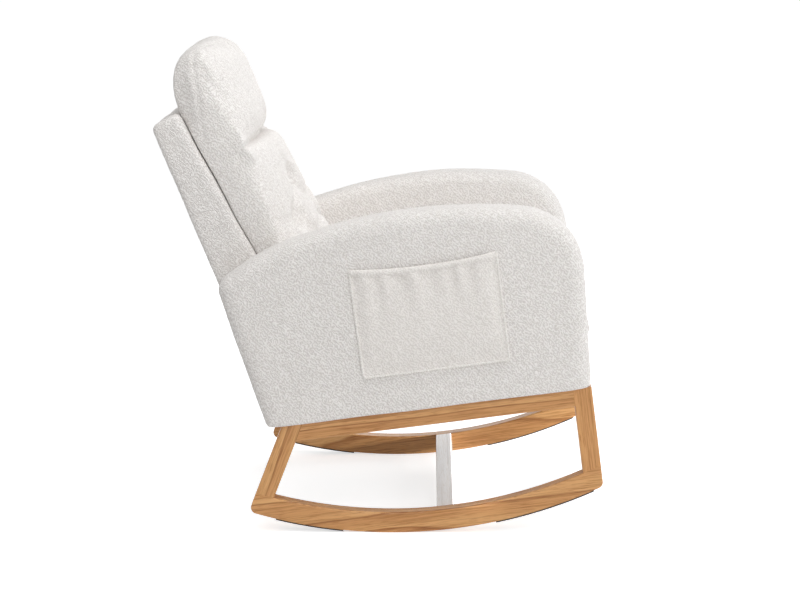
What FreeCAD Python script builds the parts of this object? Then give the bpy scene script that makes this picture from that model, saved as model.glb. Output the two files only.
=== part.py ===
import FreeCAD
import Part
import math
import os

# An upholstered rocking chair on two wooden rocker frames.
# Everything is drawn in the chair's own frame: x across the chair (the sitter's left is +x), y from front
# to back, z up, with z = 0 on the hem plane, where the upholstered body sits on the wooden rails, and
# y = 0 at the foot of the arm fronts. At the end the whole chair leans back to the pose in which it rests.

# Overall
overall_width = 700.0
arm_thickness = 98.0
rest_lean = 7.5
soft_gap = 0.3
wood_gap = 0.1
loft_steps = 12
cut_over = 1.0

# Rocker frames
timber_thickness = 34.0
base_inset = 14.0
leg_width = 37.5
front_leg_y = 0.0
rear_leg_y = 582.0
rear_leg_splay = 28.5
rail_height = 36.0
rocker_radius = 988.0
rocker_depth = 42.0
rocker_low = 256.0
rocker_middle_y = 309.5
rocker_end_radius = 13.0
timber_edge_radius = 2.5
stretcher_y = 321.5
stretcher_width = 36.0
stretcher_height = 32.0

# Anti-slip strips under the ends of the rockers: start and end in degrees from the middle of the rocker
pad_thickness = 2.0
pad_side_inset = 1.0
rear_pad_arc = (13.0, 21.0)
front_pad_arc = (-17.0, -5.0)

# Dowels and bolts
dowel_radius = 4.0
dowel_depth = 22.0
dowel_end_gap = 1.0
dowel_spacing = 17.0
bolt_radius = 4.0
bolt_clearance = 0.3
bolt_head_radius = 6.5
bolt_head_height = 5.0
front_base_bolt_y = 130.0
rear_base_bolt_y = 480.0
base_bolt_grip = 34.0
insert_radius = 6.5
insert_length = 26.0

# Arms: the corners of the side outline before they are rounded
arm_height = 396.0
arm_front_height = 349.0
arm_front_bulge = 22.0
arm_crown_start_y = 210.0
arm_crown_end_y = 412.0
arm_shoulder_y = 604.0
arm_shoulder_height = 360.0
arm_rear_y = 717.0
arm_rear_height = 300.0
arm_foot_y = 657.0
arm_front_radius = 132.0
arm_crown_start_radius = 870.0
arm_crown_end_radius = 1000.0
arm_shoulder_radius = 450.0
arm_rear_radius = 32.0
arm_edge_radius = 30.0
arm_frame_thickness = 34.0
arm_padding = 34.0

# Side pockets
pocket_width = 292.0
pocket_height = 219.0
pocket_front_y = 156.0
pocket_bottom = 79.0
pocket_stand_off = 10.0
pocket_cloth = 2.5
pocket_sag = 9.0
pocket_corner_radius = 6.0
pocket_hem_height = 13.0
pocket_hem_thickness = 1.5

# Seat
seat_rail_height = 80.0
seat_rail_thickness = 25.0
apron_front_y = -6.0
apron_thickness = 28.0
apron_edge_radius = 10.0
rear_rail_gap = 5.0
corner_block_leg = 70.0
corner_block_height = 48.0
spring_count = 5
spring_wire_radius = 1.9
spring_loop_width = 56.0
spring_pitch = 26.0
spring_side_margin = 48.0
clip_length = 26.0
clip_depth = 14.0
felt_thickness = 4.0
cushion_side_height = 86.0
cushion_crown = 17.0
cushion_draw_in = 5.0
cushion_side_bulge = 3.0
cushion_nose_y = -14.0
cushion_nose_round = 40.0
cushion_nose_drop = 26.0
cushion_rear_round = 50.0
cushion_rear_drop = 16.0
cushion_corner_round = 10.0
cushion_rear_gap = 3.0
dust_cover_thickness = 1.0
front_arm_bolt_y = 90.0
rear_arm_bolt_y = 440.0
arm_bolt_height = 62.0

# Back: its front plane starts at the hem plane and leans back; lengths run up along that plane
back_foot_y = 512.0
back_recline = 20.5
slab_length = 685.0
slab_top_thickness = 61.0
slab_foot_y = 645.0
slab_corner_radius = 14.0
slab_edge_radius = 12.0
slab_side_padding = 14.0
slab_top_padding = 20.0
slab_front_padding = 9.0
slab_rear_padding = 9.0
post_thickness = 22.0
post_width = 45.0
back_rail_width = 45.0
back_bottom_rail_level = 150.0
back_middle_rail_level = 402.0
back_top_rail_level = 610.0
back_screw_radius = 2.5
back_screw_head_radius = 4.5
back_screw_head_height = 3.0
back_screw_length = 80.0
post_bolt_height = 62.0
post_bolt_depth = 18.0

# Back cushions on their board
board_gap = 3.0
board_thickness = 6.0
board_side_margin = 33.0
board_foot = 225.0
board_below_slab = 8.0
board_bolt_radius = 3.0
board_bolt_head_radius = 6.0
board_bolt_head_height = 3.0
board_bolt_depth = 16.0
board_bolt_inset = 30.0
spacer_radius = 9.0
inner_back_side_gap = 4.0
inner_back_draw_in = 4.0
inner_back_side_bulge = 3.0
crease_level = 562.0
head_top_level = 782.0
boxing_depth = 84.0
boxing_taper = 6.0
lumbar_foot = 120.0
lumbar_crown = 135.0
lumbar_round = 42.0
lumbar_drop = 44.0
crease_side_drop = 14.0
crease_corner_round = 4.0
head_crown = 150.0
head_foot_set_back = 18.0
head_foot_round = 60.0
head_foot_drop = 45.0
head_top_round = 62.0
head_top_drop = 58.0
head_rear_rise = 110.0
head_rear_round = 70.0
head_corner_round = 42.0
fill_margin = 28.0
lumbar_fill_depth = 72.0
head_fill_depth = 100.0
head_fill_rear_wall = 14.0
head_fill_under_top = 65.0

# Tufts: rows of buttons, as level up the back and positions across it
tuft_rows = ((446.0, (-75.0, 75.0)), (376.0, (-150.0, 0.0, 150.0)), (306.0, (-75.0, 75.0)))
tuft_depth = 20.0
tuft_radius = 45.0
pleat_radius = 16.0
pleat_depth = 9.0
button_radius = 11.0
button_height = 6.0
twine_radius = 1.2

# Values worked out from the sizes above
half_width = overall_width / 2
arm_inside = half_width - arm_thickness
timber_outside = half_width - base_inset
timber_inside = timber_outside - timber_thickness
timber_middle = (timber_outside + timber_inside) / 2
rocker_centre_z = rocker_radius - rocker_low
rocker_top_radius = rocker_radius - rocker_depth
stretcher_top = rocker_centre_z - math.sqrt(rocker_top_radius ** 2 - (stretcher_y - rocker_middle_y) ** 2)
splay_slope = math.tan(math.radians(rear_leg_splay))
rear_leg_span = leg_width / math.cos(math.radians(rear_leg_splay))
recline_sin = math.sin(math.radians(back_recline))
recline_cos = math.cos(math.radians(back_recline))
post_front = -slab_front_padding
post_rear = post_front - post_thickness
slab_half_width = arm_inside - soft_gap
post_outside = slab_half_width - slab_side_padding
post_inside = post_outside - post_width
inner_back_half_width = arm_inside - inner_back_side_gap
board_half_width = inner_back_half_width - board_side_margin
board_top = slab_length - board_below_slab
board_bolt_x = post_outside - back_screw_length - board_bolt_inset
rail_top = seat_rail_height
felt_bottom = rail_top + 2 * spring_wire_radius + soft_gap
cushion_bottom = felt_bottom + felt_thickness + soft_gap
cushion_top = cushion_bottom + cushion_side_height + cushion_crown
apron_back_y = apron_front_y + apron_thickness
front_rail_y = apron_back_y + soft_gap
rear_rail_y = back_foot_y - rear_rail_gap - seat_rail_thickness
base_bolt_ys = (front_base_bolt_y, rear_base_bolt_y)
arm_bolt_ys = (front_arm_bolt_y, rear_arm_bolt_y)
back_rail_levels = (back_bottom_rail_level, back_middle_rail_level, back_top_rail_level)

V = FreeCAD.Vector
X_AXIS = V(1, 0, 0)
BIG = 2000.0
nodes = {}


def at(x, point):
    """A point of the side view, (y, z), set at x."""
    return V(x, point[0], point[1])


def on_back(level, forward):
    """The side-view point at a level up the back's front plane, and so far forward of it."""
    y = back_foot_y + level * recline_sin - forward * recline_cos
    return (y, level * recline_cos + forward * recline_sin)


def back_y(forward, z):
    """The y at height z of the line that runs parallel to the back's front plane, so far forward of it."""
    level = (z - forward * recline_sin) / recline_cos
    return on_back(level, forward)[0]


def unit(a, b):
    length = math.hypot(b[0] - a[0], b[1] - a[1])
    return ((b[0] - a[0]) / length, (b[1] - a[1]) / length)


def corner_turn(corners, i):
    """The directions from corner i to the corners before and after it, and half the angle between them."""
    back = unit(corners[i], corners[i - 1])
    ahead = unit(corners[i], corners[(i + 1) % len(corners)])
    return back, ahead, math.acos(back[0] * ahead[0] + back[1] * ahead[1]) / 2


def fitted_radii(corners):
    """Each corner's radius, made smaller where the roundings at both ends of an edge would meet."""
    count = len(corners)
    reaches = [corners[i][2] / math.tan(corner_turn(corners, i)[2]) for i in range(count)]
    shares = []
    for i in range(count):
        after = (i + 1) % count
        length = math.hypot(corners[after][0] - corners[i][0], corners[after][1] - corners[i][1])
        shares.append(length / max(length, reaches[i] + reaches[after]))
    return [corners[i][2] * min(shares[i - 1], shares[i]) for i in range(count)]


def outline(corners, x):
    """A closed side-view wire at x. Each corner is (y, z, radius), and a radius over 0 rounds it."""
    edges = []
    starts, ends, arcs = [], [], []
    count = len(corners)
    for i, radius in enumerate(fitted_radii(corners)):
        y, z = corners[i][:2]
        back, ahead, half = corner_turn(corners, i)
        reach = radius / math.tan(half)
        middle = unit((0, 0), (back[0] + ahead[0], back[1] + ahead[1]))
        dip = radius / math.sin(half) - radius
        starts.append((y + back[0] * reach, z + back[1] * reach))
        ends.append((y + ahead[0] * reach, z + ahead[1] * reach))
        arcs.append((y + middle[0] * dip, z + middle[1] * dip) if radius else None)
    for i in range(count):
        if arcs[i]:
            edges.append(Part.Arc(at(x, starts[i]), at(x, arcs[i]), at(x, ends[i])).toShape())
        following = starts[(i + 1) % count]
        if math.hypot(following[0] - ends[i][0], following[1] - ends[i][1]) > 1e-6:
            edges.append(Part.LineSegment(at(x, ends[i]), at(x, following)).toShape())
    return Part.Wire(edges)


def inset(corners, distances):
    """The same corners with the edge after corner i moved in by distances[i], either way round."""
    count = len(corners)
    area = sum(corners[i - 1][0] * corners[i][1] - corners[i][0] * corners[i - 1][1] for i in range(count))
    turn = 1 if area > 0 else -1
    lines = []
    for i in range(count):
        a, b = corners[i], corners[(i + 1) % count]
        along = unit(a, b)
        inward = (-along[1] * turn, along[0] * turn)
        lines.append(((a[0] + inward[0] * distances[i], a[1] + inward[1] * distances[i]), along))
    moved = []
    for i in range(count):
        (p, d), (q, e) = lines[i - 1], lines[i]
        reach = ((q[0] - p[0]) * e[1] - (q[1] - p[1]) * e[0]) / (d[0] * e[1] - d[1] * e[0])
        radius = max(corners[i][2] - distances[i], 0.0)
        moved.append((p[0] + d[0] * reach, p[1] + d[1] * reach, radius))
    return moved


def prism(corners, x0, x1):
    return Part.Face(outline(corners, x0)).extrude(V(x1 - x0, 0, 0))


def box(x0, x1, y0, y1, z0, z1):
    return Part.makeBox(x1 - x0, y1 - y0, z1 - z0, V(x0, y0, z0))


def rod(start, end, radius):
    along = end.sub(start)
    return Part.makeCylinder(radius, along.Length, start, along)


def bolt(start, end, radius, head_radius, head_height):
    """A bolt whose head lies behind start and whose shank runs from start to end."""
    along = end.sub(start).normalize()
    head = rod(start.sub(along * head_height), start, head_radius)
    return head.fuse(rod(start, end, radius)).removeSplitter()


def bolt_hole(start, end, radius, head_radius, head_height):
    """The hole for such a bolt, larger all round by the bolt clearance and open behind the head."""
    along = end.sub(start).normalize()
    shank = rod(start, end.add(along * bolt_clearance), radius + bolt_clearance)
    head = rod(start.sub(along * head_height), start, head_radius + bolt_clearance)
    return head.fuse(shank)


def mirrored(shape):
    return shape.mirror(V(0, 0, 0), X_AXIS)


def on_both_sides(shapes):
    """The shapes, drawn at +x, and their mirror images at -x."""
    return shapes + [mirrored(s) for s in shapes]


def side_pair(name, shape):
    """Keeps a shape drawn on the sitter's left and its mirror image on the right."""
    nodes[name + "_left"] = shape
    nodes[name + "_right"] = mirrored(shape)


def group(name, solids):
    nodes[name] = Part.makeCompound(solids)


def edges_at(shape, *xs):
    """The edges that lie wholly at one of these x, above the hem plane."""
    found = []
    for e in shape.Edges:
        b = e.BoundBox
        if any(abs(b.XMin - x) < 1e-3 and abs(b.XMax - x) < 1e-3 for x in xs) and b.ZMax > 1e-3:
            found.append(e)
    return found


# Rocker frames

def on_circle(point, along, radius):
    """Where the line down from a point meets a circle about the rocker's centre."""
    py, pz = point[0] - rocker_middle_y, point[1] - rocker_centre_z
    b = py * along[0] + pz * along[1]
    reach = -b + math.sqrt(b * b - (py * py + pz * pz - radius * radius))
    return (point[0] + along[0] * reach, point[1] + along[1] * reach)


def rocker_arc(radius, start, end, x):
    lowest = (rocker_middle_y, rocker_centre_z - radius)
    return Part.Arc(at(x, start), at(x, lowest), at(x, end)).toShape()


def loop(points, arc):
    """A wire of straight runs through the points, closed by an arc from the last point to the first."""
    x = arc.Vertexes[0].X
    runs = [Part.LineSegment(at(x, a), at(x, b)).toShape() for a, b in zip(points, points[1:])]
    return Part.Wire(runs + [arc])


down = (0.0, -1.0)
splay_length = math.hypot(splay_slope, 1.0)
down_splay = (splay_slope / splay_length, -1.0 / splay_length)
front_leg_back_y = front_leg_y + leg_width
front_foot = on_circle((front_leg_y, 0.0), down, rocker_radius)
front_heel = on_circle((front_leg_back_y, 0.0), down, rocker_top_radius)
rear_foot = on_circle((rear_leg_y + rear_leg_span, 0.0), down_splay, rocker_radius)
rear_heel = on_circle((rear_leg_y, 0.0), down_splay, rocker_top_radius)
rear_leg_under_rail = (rear_leg_y + rail_height * splay_slope, -rail_height)


def seat_end(heel, reach):
    """A point so far back along the flat seat for a leg, which is tangent to the rocker's top at the heel."""
    radial = unit((rocker_middle_y, rocker_centre_z), heel)
    return (heel[0] - radial[1] * reach, heel[1] + radial[0] * reach)


def rocker_frame():
    """One whole side frame at +x, with its long edges eased, before it is divided at its joints."""
    x = timber_inside
    outer = [front_foot, (front_leg_y, 0.0), (rear_leg_y + rear_leg_span, 0.0), rear_foot]
    inner = [front_heel, (front_leg_back_y, -rail_height), rear_leg_under_rail, rear_heel]
    outer_face = Part.Face(loop(outer, rocker_arc(rocker_radius, rear_foot, front_foot, x)))
    inner_face = Part.Face(loop(inner, rocker_arc(rocker_top_radius, rear_heel, front_heel, x)))
    frame = outer_face.cut(inner_face).extrude(V(timber_thickness, 0, 0))
    corners = []
    for e in frame.Edges:
        b = e.BoundBox
        ends = [f for f in (front_foot, rear_foot) if abs(b.YMin - f[0]) < 0.01 and abs(b.ZMin - f[1]) < 0.01]
        if ends and b.XLength > timber_thickness / 2:
            corners.append(e)
    frame = frame.makeFillet(rocker_end_radius, corners)
    eased = []
    for e in frame.Edges:
        b = e.BoundBox
        if b.XLength < 1e-3 and b.ZMin < -1e-3:
            eased.append(e)
    return frame.makeFillet(timber_edge_radius, eased)


def corner_list(points):
    return [(p[0], p[1], 0.0) for p in points]


def joint_regions():
    """The side-view areas of the four timbers of a frame, which meet at the joints."""
    past = 3 * leg_width
    front_seat = seat_end(front_heel, -past)
    rear_seat = seat_end(rear_heel, past)
    under = -2 * rocker_low
    above_rear = (rear_leg_y - cut_over * splay_slope, cut_over)
    return {
        "rocker": [front_seat, front_heel, rear_heel, rear_seat,
                   (rear_seat[0], under), (front_seat[0], under)],
        "front_leg": [front_seat, front_heel, (front_leg_back_y, cut_over), (front_seat[0], cut_over)],
        "rear_leg": [rear_heel, rear_seat, (rear_seat[0], cut_over), above_rear],
        "side_rail": [(front_leg_back_y, cut_over), (front_leg_back_y, -2 * rail_height),
                      (rear_leg_y + 2 * rail_height * splay_slope, -2 * rail_height), above_rear],
    }


def dowel_axes():
    """The middle and the direction of each dowel of one side frame."""
    axes = []
    half = dowel_spacing / 2
    rear_across = (math.cos(math.radians(rear_leg_splay)), math.sin(math.radians(rear_leg_splay)))
    front_middle = seat_end(front_heel, -leg_width / 2)
    rear_middle = seat_end(rear_heel, leg_width / 2)
    for step in (-half, half):
        axes.append((at(timber_middle, (front_middle[0] + step, front_middle[1])), V(0, 0, 1)))
        rear_point = (rear_middle[0] + step * rear_across[0], rear_middle[1] + step * rear_across[1])
        axes.append((at(timber_middle, rear_point), V(0, -down_splay[0], -down_splay[1])))
        level = -rail_height / 2 + step
        axes.append((at(timber_middle, (front_leg_back_y, level)), V(0, 1, 0)))
        axes.append((at(timber_middle, (rear_leg_y - level * splay_slope, level)), V(0, 1, 0)))
    return axes


def stretcher_dowel_axes():
    """The middle and the direction of each dowel at the +x end of the stretcher."""
    z = stretcher_top - stretcher_height / 2
    half = dowel_spacing / 2
    return [(V(timber_inside, stretcher_y + step, z), X_AXIS) for step in (-half, half)]


def dowel(middle, along, radius, reach):
    return rod(middle.sub(along * reach), middle.add(along * reach), radius)


def dowels(axes):
    return [dowel(middle, along, dowel_radius, dowel_depth) for middle, along in axes]


def dowel_holes(axes):
    radius = dowel_radius + wood_gap
    reach = dowel_depth + dowel_end_gap
    return [dowel(middle, along, radius, reach) for middle, along in axes]


def base_bolt_ends(y):
    """The underside of a base bolt's shank, above its counterbore, and its tip in the arm frame."""
    return V(timber_middle, y, -rail_height + bolt_head_height), V(timber_middle, y, base_bolt_grip)


def build_rocker_frames():
    frame = rocker_frame()
    holes = dowel_holes(dowel_axes() + stretcher_dowel_axes())
    for y in base_bolt_ys:
        start, end = base_bolt_ends(y)
        holes.append(bolt_hole(start, end, bolt_radius, bolt_head_radius, bolt_head_height))
    for name, region in joint_regions().items():
        keep = prism(corner_list(region), timber_inside - cut_over, timber_outside + cut_over)
        side_pair(name, frame.common(keep).cut(holes))
    group("frame_dowels", on_both_sides(dowels(dowel_axes())))
    group("stretcher_dowels", on_both_sides(dowels(stretcher_dowel_axes())))


def build_stretcher():
    y0 = stretcher_y - stretcher_width / 2
    foot = stretcher_top - stretcher_height
    bar = box(-timber_inside, timber_inside, y0, y0 + stretcher_width, foot, stretcher_top)
    long_edges = [e for e in bar.Edges if e.BoundBox.XLength > timber_inside]
    bar = bar.makeFillet(timber_edge_radius, long_edges)
    nodes["cross_stretcher"] = bar.cut(on_both_sides(dowel_holes(stretcher_dowel_axes())))


def pad_strip(arc):
    """A thin strip under the rocker, from one angle to the other about the rocker's centre."""
    def point(angle, radius):
        a = math.radians(angle)
        return V(0, rocker_middle_y + radius * math.sin(a), rocker_centre_z - radius * math.cos(a))

    start, end = arc
    middle = (start + end) / 2
    high = rocker_radius
    low = rocker_radius + pad_thickness
    edges = [
        Part.Arc(point(start, high), point(middle, high), point(end, high)).toShape(),
        Part.LineSegment(point(end, high), point(end, low)).toShape(),
        Part.Arc(point(end, low), point(middle, low), point(start, low)).toShape(),
        Part.LineSegment(point(start, low), point(start, high)).toShape(),
    ]
    strip = Part.Face(Part.Wire(edges)).extrude(V(timber_thickness - 2 * pad_side_inset, 0, 0))
    strip.translate(V(timber_inside + pad_side_inset, 0, 0))
    return strip


def build_pads():
    group("rocker_rear_pads", on_both_sides([pad_strip(rear_pad_arc)]))
    group("rocker_front_pads", on_both_sides([pad_strip(front_pad_arc)]))


# Arms

arm_corners = [
    (0.0, 0.0, 0.0),
    (-arm_front_bulge, arm_front_height, arm_front_radius),
    (arm_crown_start_y, arm_height, arm_crown_start_radius),
    (arm_crown_end_y, arm_height, arm_crown_end_radius),
    (arm_shoulder_y, arm_shoulder_height, arm_shoulder_radius),
    (arm_rear_y, arm_rear_height, arm_rear_radius),
    (arm_foot_y, 0.0, 0.0),
]
arm_frame_x0 = timber_middle - arm_frame_thickness / 2
arm_frame_x1 = timber_middle + arm_frame_thickness / 2


def arm_frame_corners(grow, below):
    """The arm board's outline, grown all round, and its foot moved down, for the slot that holds it."""
    sides = [arm_padding - grow] * (len(arm_corners) - 1)
    return inset(arm_corners, sides + [-below])


def arm_bolt_ends(y):
    """An arm bolt's shank, from the inside of the seat's side rail to its tip in the arm board."""
    inside = arm_inside - soft_gap - seat_rail_thickness
    return V(inside, y, arm_bolt_height), V(timber_middle, y, arm_bolt_height)


def build_arms():
    pad = prism(arm_corners, arm_inside, half_width)
    edge_radius = min([arm_edge_radius] + [radius for radius in fitted_radii(arm_corners) if radius])
    pad = pad.makeFillet(edge_radius, edges_at(pad, arm_inside, half_width))
    slot = prism(arm_frame_corners(soft_gap, cut_over), arm_frame_x0 - soft_gap, arm_frame_x1 + soft_gap)
    board = prism(arm_frame_corners(0.0, 0.0), arm_frame_x0, arm_frame_x1)
    holes, arm_bolts = [], []
    for y in arm_bolt_ys:
        start, end = arm_bolt_ends(y)
        holes.append(rod(start, end.add(X_AXIS * bolt_clearance), bolt_radius + bolt_clearance))
        arm_bolts.append(bolt(start, end, bolt_radius, bolt_head_radius, bolt_head_height))
    base_bolts, inserts, sockets = [], [], []
    for y in base_bolt_ys:
        start, end = base_bolt_ends(y)
        base_bolts.append(bolt(start, end, bolt_radius, bolt_head_radius, bolt_head_height))
        foot, top = V(start.x, y, 0), V(start.x, y, insert_length)
        bore = rod(foot, end.add(V(0, 0, bolt_clearance)), bolt_radius + bolt_clearance)
        inserts.append(rod(foot, top, insert_radius).cut(bore))
        sockets.append(rod(foot, top, insert_radius + wood_gap).fuse(bore))
    side_pair("arm_pad", pad.cut([slot] + holes))
    side_pair("arm_board", board.cut(holes + sockets))
    group("base_bolts", on_both_sides(base_bolts))
    group("base_inserts", on_both_sides(inserts))
    group("arm_bolts", on_both_sides(arm_bolts))


# Side pockets

pocket_rear_y = pocket_front_y + pocket_width
pocket_top = pocket_bottom + pocket_height
pocket_middle_y = (pocket_front_y + pocket_rear_y) / 2


def pocket_area(margin, foot, top_drop, x):
    """The face of the pocket at x, smaller by a margin at its sides, with its top edge sagging in an arc."""
    y0, y1 = pocket_front_y + margin, pocket_rear_y - margin
    top = pocket_top - top_drop
    points = [(y1, top), (y1, foot), (y0, foot), (y0, top)]
    runs = [Part.LineSegment(at(x, a), at(x, b)).toShape() for a, b in zip(points, points[1:])]
    lowest = (pocket_middle_y, top - pocket_sag)
    sag = Part.Arc(at(x, points[-1]), at(x, lowest), at(x, points[0])).toShape()
    return Part.Face(Part.Wire(runs + [sag]))


def build_pockets():
    outside = half_width + pocket_stand_off
    pocket = pocket_area(0.0, pocket_bottom, 0.0, half_width).extrude(V(pocket_stand_off, 0, 0))
    across = [e for e in pocket.Edges if e.BoundBox.XLength > pocket_stand_off / 2]
    low_corners = [e for e in across if e.BoundBox.ZMax < pocket_bottom + pocket_corner_radius]
    pocket = pocket.makeFillet(pocket_corner_radius, low_corners)
    foot = pocket_bottom + pocket_cloth
    inside = pocket_area(pocket_cloth, foot, -pocket_height, half_width)
    hollow = inside.extrude(V(pocket_stand_off - pocket_cloth, 0, 0))
    side_pair("pocket", pocket.cut(hollow))
    hem = pocket_area(0.0, pocket_top - pocket_sag - 2 * pocket_hem_height, 0.0, outside)
    below = pocket_area(-cut_over, pocket_bottom, pocket_hem_height, outside)
    side_pair("pocket_hem", hem.cut(below).extrude(V(pocket_hem_thickness, 0, 0)))


# Seat

def build_seat_frame():
    inside = arm_inside - soft_gap
    side_x = inside - seat_rail_thickness
    holes = []
    for y in arm_bolt_ys:
        start, end = arm_bolt_ends(y)
        holes.append(rod(start, end, bolt_radius + bolt_clearance))
    front_end = front_rail_y + seat_rail_thickness
    rear_end = rear_rail_y + seat_rail_thickness
    side_pair("seat_side_rail", box(side_x, inside, front_rail_y, rear_end, 0, rail_top).cut(holes))
    nodes["seat_front_rail"] = box(-side_x, side_x, front_rail_y, front_end, 0, rail_top)
    rear_rail = box(-side_x, side_x, rear_rail_y, rear_end, 0, rail_top)
    for start, end in post_bolt_ends():
        rear_rail = rear_rail.cut(rod(start, end, bolt_radius + bolt_clearance))
    nodes["seat_rear_rail"] = rear_rail
    blocks = []
    for y, leg in ((front_end, corner_block_leg), (rear_rail_y, -corner_block_leg)):
        corner = V(side_x, y, 0)
        points = [corner, V(side_x - corner_block_leg, y, 0), V(side_x, y + leg, 0), corner]
        face = Part.Face(Part.makePolygon(points))
        blocks.append(face.extrude(V(0, 0, corner_block_height)))
    group("corner_blocks", on_both_sides(blocks))


def spring_path(x):
    """The wire's middle line: runs across the seat joined by half turns, from one rail to the other."""
    first = front_rail_y + seat_rail_thickness / 2
    last = rear_rail_y + seat_rail_thickness / 2
    turns = 2 * round((last - first) / spring_pitch / 2) + 1
    radius = (last - first) / turns / 2
    z = rail_top + spring_wire_radius
    reach = spring_loop_width / 2 - radius
    edges = []
    side = -1
    for i in range(turns + 1):
        y = first + 2 * radius * i
        edges.append(Part.LineSegment(V(x + side * reach, y, z), V(x - side * reach, y, z)).toShape())
        side = -side
        if i < turns:
            end = x + side * reach
            tip = V(end + side * radius, y + radius, z)
            edges.append(Part.Arc(V(end, y, z), tip, V(end, y + 2 * radius, z)).toShape())
    return Part.Wire(edges), (first, last)


def build_springs():
    inside = arm_inside - soft_gap - seat_rail_thickness
    span = 2 * (inside - spring_side_margin)
    springs, clips = [], []
    for i in range(spring_count):
        x = -span / 2 + span * i / (spring_count - 1)
        path, ends = spring_path(x)
        start = path.Vertexes[0].Point
        ring = Part.Wire(Part.makeCircle(spring_wire_radius, start, X_AXIS))
        sweep = Part.BRepOffsetAPI.MakePipeShell(path)
        sweep.add(ring)
        sweep.build()
        sweep.makeSolid()
        springs.append(sweep.shape())
        for y in ends:
            clip = box(x - clip_length / 2, x + clip_length / 2, y - clip_depth / 2, y + clip_depth / 2,
                       rail_top, rail_top + 2 * spring_wire_radius)
            z = rail_top + spring_wire_radius
            groove = rod(V(x - clip_length, y, z), V(x + clip_length, y, z), spring_wire_radius + wood_gap)
            clips += clip.cut(groove).Solids
    group("seat_springs", springs)
    group("spring_clips", clips)
    felt = box(-inside, inside, front_rail_y, rear_rail_y + seat_rail_thickness,
               felt_bottom, felt_bottom + felt_thickness)
    nodes["spring_felt"] = felt


def end_round(distance, zone):
    """How far a face has fallen back near an end: 0 a zone away from it, 1 at it, along a quarter round."""
    near = max(0.0, 1.0 - distance / zone)
    return 1.0 - math.sqrt(max(0.0, 1.0 - near * near))


def eased_steps(start, end, count):
    """Stations from start to end that lie closer together towards both."""
    return [start + (end - start) * (1 - math.cos(math.pi * i / count)) / 2 for i in range(count + 1)]


def seat_section(y, rear):
    """A section across the seat cushion: flat below, bulging sides and an arched top."""
    nose = end_round(y - cushion_nose_y, cushion_nose_round)
    tail = end_round(rear - y, cushion_rear_round)
    drawn = cushion_draw_in * math.sin(math.pi * (y - cushion_nose_y) / (rear - cushion_nose_y))
    half = arm_inside - soft_gap - cushion_side_bulge - drawn - cushion_corner_round * (nose + tail)
    drop = cushion_nose_drop * nose + cushion_rear_drop * tail
    side = cushion_bottom + cushion_side_height - drop
    crown = side + cushion_crown * (1 - nose / 2 - tail / 2)
    middle = (cushion_bottom + side) / 2
    corners = [V(-half, y, cushion_bottom), V(half, y, cushion_bottom), V(half, y, side), V(-half, y, side)]
    return Part.Wire([
        Part.LineSegment(corners[0], corners[1]).toShape(),
        Part.Arc(corners[1], V(half + cushion_side_bulge, y, middle), corners[2]).toShape(),
        Part.Arc(corners[2], V(0, y, crown), corners[3]).toShape(),
        Part.Arc(corners[3], V(-half - cushion_side_bulge, y, middle), corners[0]).toShape(),
    ])


def build_seat():
    build_seat_frame()
    build_springs()
    inside = arm_inside - soft_gap
    corners = [
        (apron_front_y, 0.0, 0.0), (apron_front_y, felt_bottom + felt_thickness, apron_edge_radius),
        (apron_back_y, felt_bottom + felt_thickness, 0.0), (apron_back_y, 0.0, 0.0),
    ]
    nodes["front_apron"] = prism(corners, -inside, inside)
    rear = back_y(0.0, cushion_bottom) - cushion_rear_gap
    sections = [seat_section(y, rear) for y in eased_steps(cushion_nose_y, rear, loft_steps)]
    nodes["seat_cushion"] = Part.makeLoft(sections, True, False)
    cover = box(-inside, inside, apron_back_y, slab_foot_y - slab_corner_radius,
                -dust_cover_thickness - soft_gap, -soft_gap)
    nodes["dust_cover"] = cover


# Back

def post_bolt_ends():
    """The bolts from the seat's rear rail into the two back posts."""
    ends = []
    for side in (-1, 1):
        x = side * (post_outside + post_inside) / 2
        tip = back_y(post_front, post_bolt_height) + post_bolt_depth
        ends.append((V(x, rear_rail_y, post_bolt_height), V(x, tip, post_bolt_height)))
    return ends


def back_strip(front, rear, foot, top):
    """Side-view corners of a strip parallel to the back's front plane, between two levels."""
    points = [on_back(foot, front), on_back(top, front), on_back(top, rear), on_back(foot, rear)]
    return corner_list(points)


def board_bolt_ends():
    """The bolts that hold the cushion board to the middle and top rails of the back."""
    ends = []
    for level in back_rail_levels[1:]:
        middle = level + back_rail_width / 2
        start = on_back(middle, board_gap + board_thickness)
        end = on_back(middle, post_front - board_bolt_depth)
        for side in (-1, 1):
            ends.append((at(side * board_bolt_x, start), at(side * board_bolt_x, end)))
    return ends


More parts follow.
